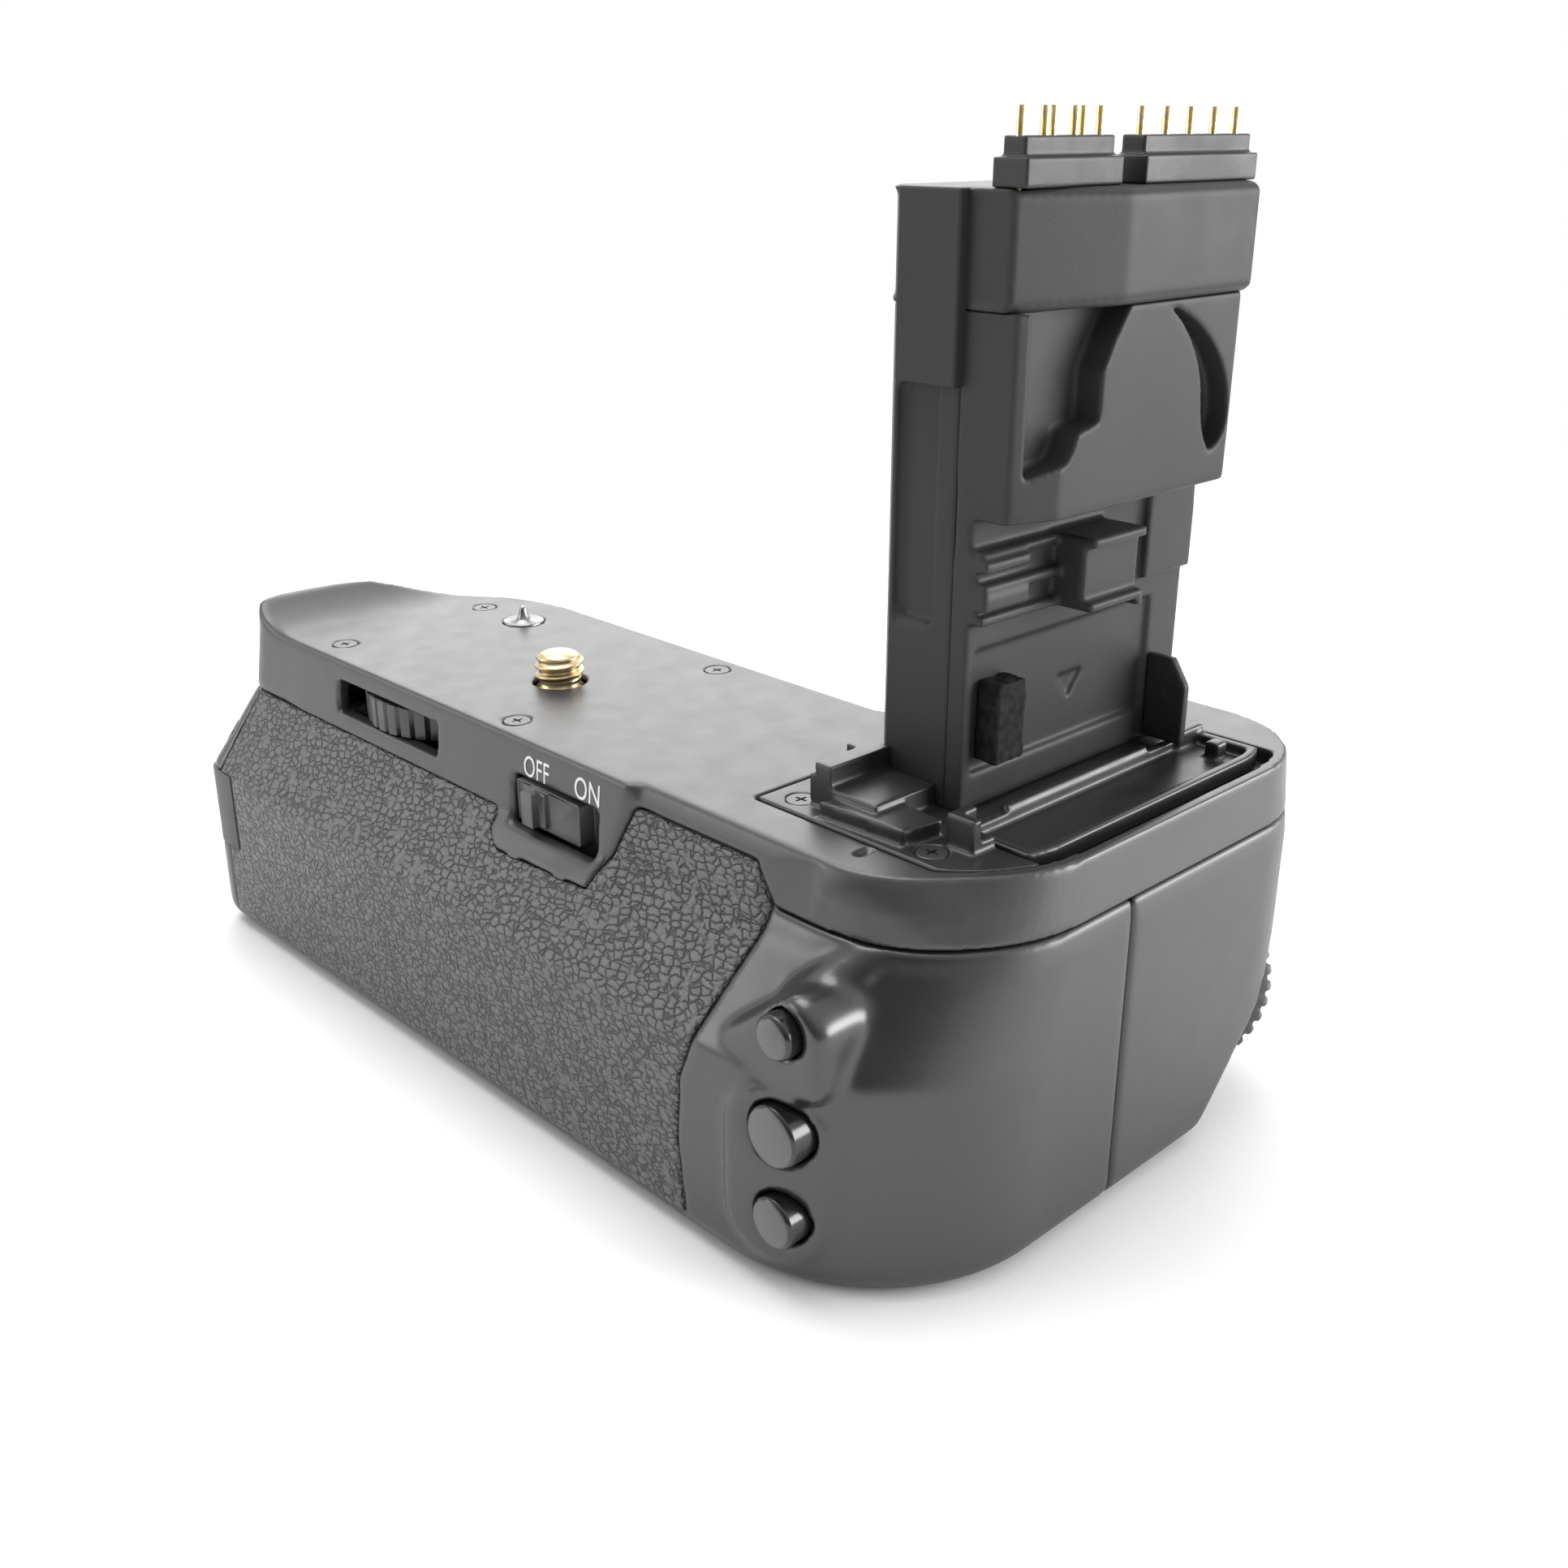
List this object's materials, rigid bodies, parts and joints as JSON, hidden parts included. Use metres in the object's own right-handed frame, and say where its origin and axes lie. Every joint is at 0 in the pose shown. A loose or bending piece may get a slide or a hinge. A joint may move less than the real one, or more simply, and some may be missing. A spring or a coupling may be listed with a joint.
{
  "type": "camera battery grip",
  "caption": "Vertical battery grip for a camera: flat deck with attachment screw, contact tower for the battery well, sliding battery magazine, rear buttons, switch, shutter button and dial.",
  "frame": {"origin": "axis of the attachment screw where it leaves the deck that meets the camera", "axes": "+Z out of the deck towards the camera, +X to the hand end, +Y towards the lens side, -Y to the user"},
  "size_m": [0.1361, 0.0798, 0.1127],
  "materials": {
    "housing": "fine matte grain",
    "insert": "satin",
    "tower": "satin",
    "grip_rubber": "pebbled",
    "cover_rubber": "smooth matte",
    "brass": "turned",
    "black_metal": "satin black",
    "steel": "plain",
    "black_screw": "blackened",
    "switch_plastic": "satin",
    "button_plastic": "satin",
    "shutter_metal": "polished",
    "circuit_board": "lacquered",
    "contact_plastic": "satin",
    "gold_contact": "gilt",
    "bay_plastic": "satin",
    "foam": "open cell foam",
    "flex": "thin film"
  },
  "bodies": {
    "housing": {"top_shell": "housing", "rear_shell": "housing", "front_shell": "housing", "deck_insert": "insert", "door_tray": "insert", "rear_grip_rubber": "grip_rubber", "front_grip_rubber": "grip_rubber", "screw_bush": "black_metal", "wheel_axle": "steel", "gear_plate": "steel", "locating_pin": "steel", "deck_screws": "black_screw", "base_screws": "black_screw", "slide_switch": "switch_plastic", "tact_switches": "steel", "button_board": "circuit_board", "main_board": "circuit_board", "shutter_board": "circuit_board", "dial_axle": "steel", "shutter_ring": "black_metal", "tower_shell": "tower", "tower_side_cover": "tower", "tower_head": "tower", "rail_strip": "tower", "foam_pad": "foam", "hinge_ear": "tower", "contact_block_four": "contact_plastic", "contact_block_five": "contact_plastic", "contact_pins": "gold_contact", "bay_floor": "bay_plastic", "bay_rear_wall": "bay_plastic", "bay_end_wall": "bay_plastic", "bay_contacts": "gold_contact", "tower_cable": "flex", "tripod_socket": "steel", "base_plate": "housing", "bay_roof": "bay_plastic"},
    "attachment_screw": {"attachment_screw": "brass", "screw_gear": "steel"},
    "thumb_wheel": {"thumb_wheel": "black_metal", "wheel_gear": "steel"},
    "power_switch": {"power_switch": "switch_plastic"},
    "rear_button_upper": {"rear_button_upper": "button_plastic"},
    "rear_button_middle": {"rear_button_middle": "button_plastic"},
    "rear_button_lower": {"rear_button_lower": "button_plastic"},
    "shutter_button": {"shutter_button": "shutter_metal"},
    "main_dial": {"main_dial": "black_metal"},
    "magazine": {"magazine_frame": "bay_plastic", "magazine_cap": "housing", "magazine_contacts": "gold_contact", "magazine_divider": "bay_plastic", "magazine_end": "bay_plastic"},
    "lock_knob": {"lock_knob": "switch_plastic"},
    "latch_bolt": {"latch_bolt": "steel"},
    "cord_hole_cover": {"cord_hole_cover": "cover_rubber"}
  },
  "joints": [
    {"name": "wheel_turn", "type": "hinge", "parent": "housing", "child": "thumb_wheel", "pos_m": [-0.0163, -0.00407, -0.005], "axis": [0, 0, 1], "continuous": true},
    {"name": "screw_turn", "type": "hinge", "parent": "housing", "child": "attachment_screw", "pos_m": [0, 0, 0], "axis": [0, 0, 1], "continuous": true},
    {"name": "power_slide", "type": "slide", "parent": "housing", "child": "power_switch", "axis": [1, 0, 0], "range_m": [0, 0.0024]},
    {"name": "upper_button_press", "type": "slide", "parent": "housing", "child": "rear_button_upper", "axis": [0, 1, 0], "range_m": [0, 0.00045], "stiffness_N_per_m": 400},
    {"name": "middle_button_press", "type": "slide", "parent": "housing", "child": "rear_button_middle", "axis": [0, 1, 0], "range_m": [0, 0.00045], "stiffness_N_per_m": 400},
    {"name": "lower_button_press", "type": "slide", "parent": "housing", "child": "rear_button_lower", "axis": [0, 1, 0], "range_m": [0, 0.00045], "stiffness_N_per_m": 400},
    {"name": "shutter_press", "type": "slide", "parent": "housing", "child": "shutter_button", "axis": [-0.6097, -0.5897, 0.5297], "range_m": [0, 0.0008], "stiffness_N_per_m": 400},
    {"name": "dial_turn", "type": "hinge", "parent": "housing", "child": "main_dial", "pos_m": [0.0731, 0.0363, -0.0279], "axis": [-0.7918, 0.4836, -0.373], "continuous": true},
    {"name": "magazine_slide", "type": "slide", "parent": "housing", "child": "magazine", "axis": [-1, 0, 0], "range_m": [0, 0.118]},
    {"name": "knob_turn", "type": "hinge", "parent": "magazine", "child": "lock_knob", "pos_m": [-0.055, 0, -0.028], "axis": [-1, 0, 0], "range_deg": [0, 90]},
    {"name": "bolt_slide", "type": "slide", "parent": "magazine", "child": "latch_bolt", "axis": [0, 0, -1], "range_m": [0, 0.003]},
    {"name": "cover_swing", "type": "hinge", "parent": "housing", "child": "cord_hole_cover", "pos_m": [-0.0469, -0.0243, -0.02575], "axis": [0, 0, 1], "range_deg": [0, 60], "stiffness_Nm_per_rad": 0.002}
  ],
  "couplings": [
    {"joint": "screw_turn", "follows": "wheel_turn", "ratio": -1},
    {"joint": "knob_turn", "follows": "bolt_slide", "rad_per_m": 523.5}
  ]
}
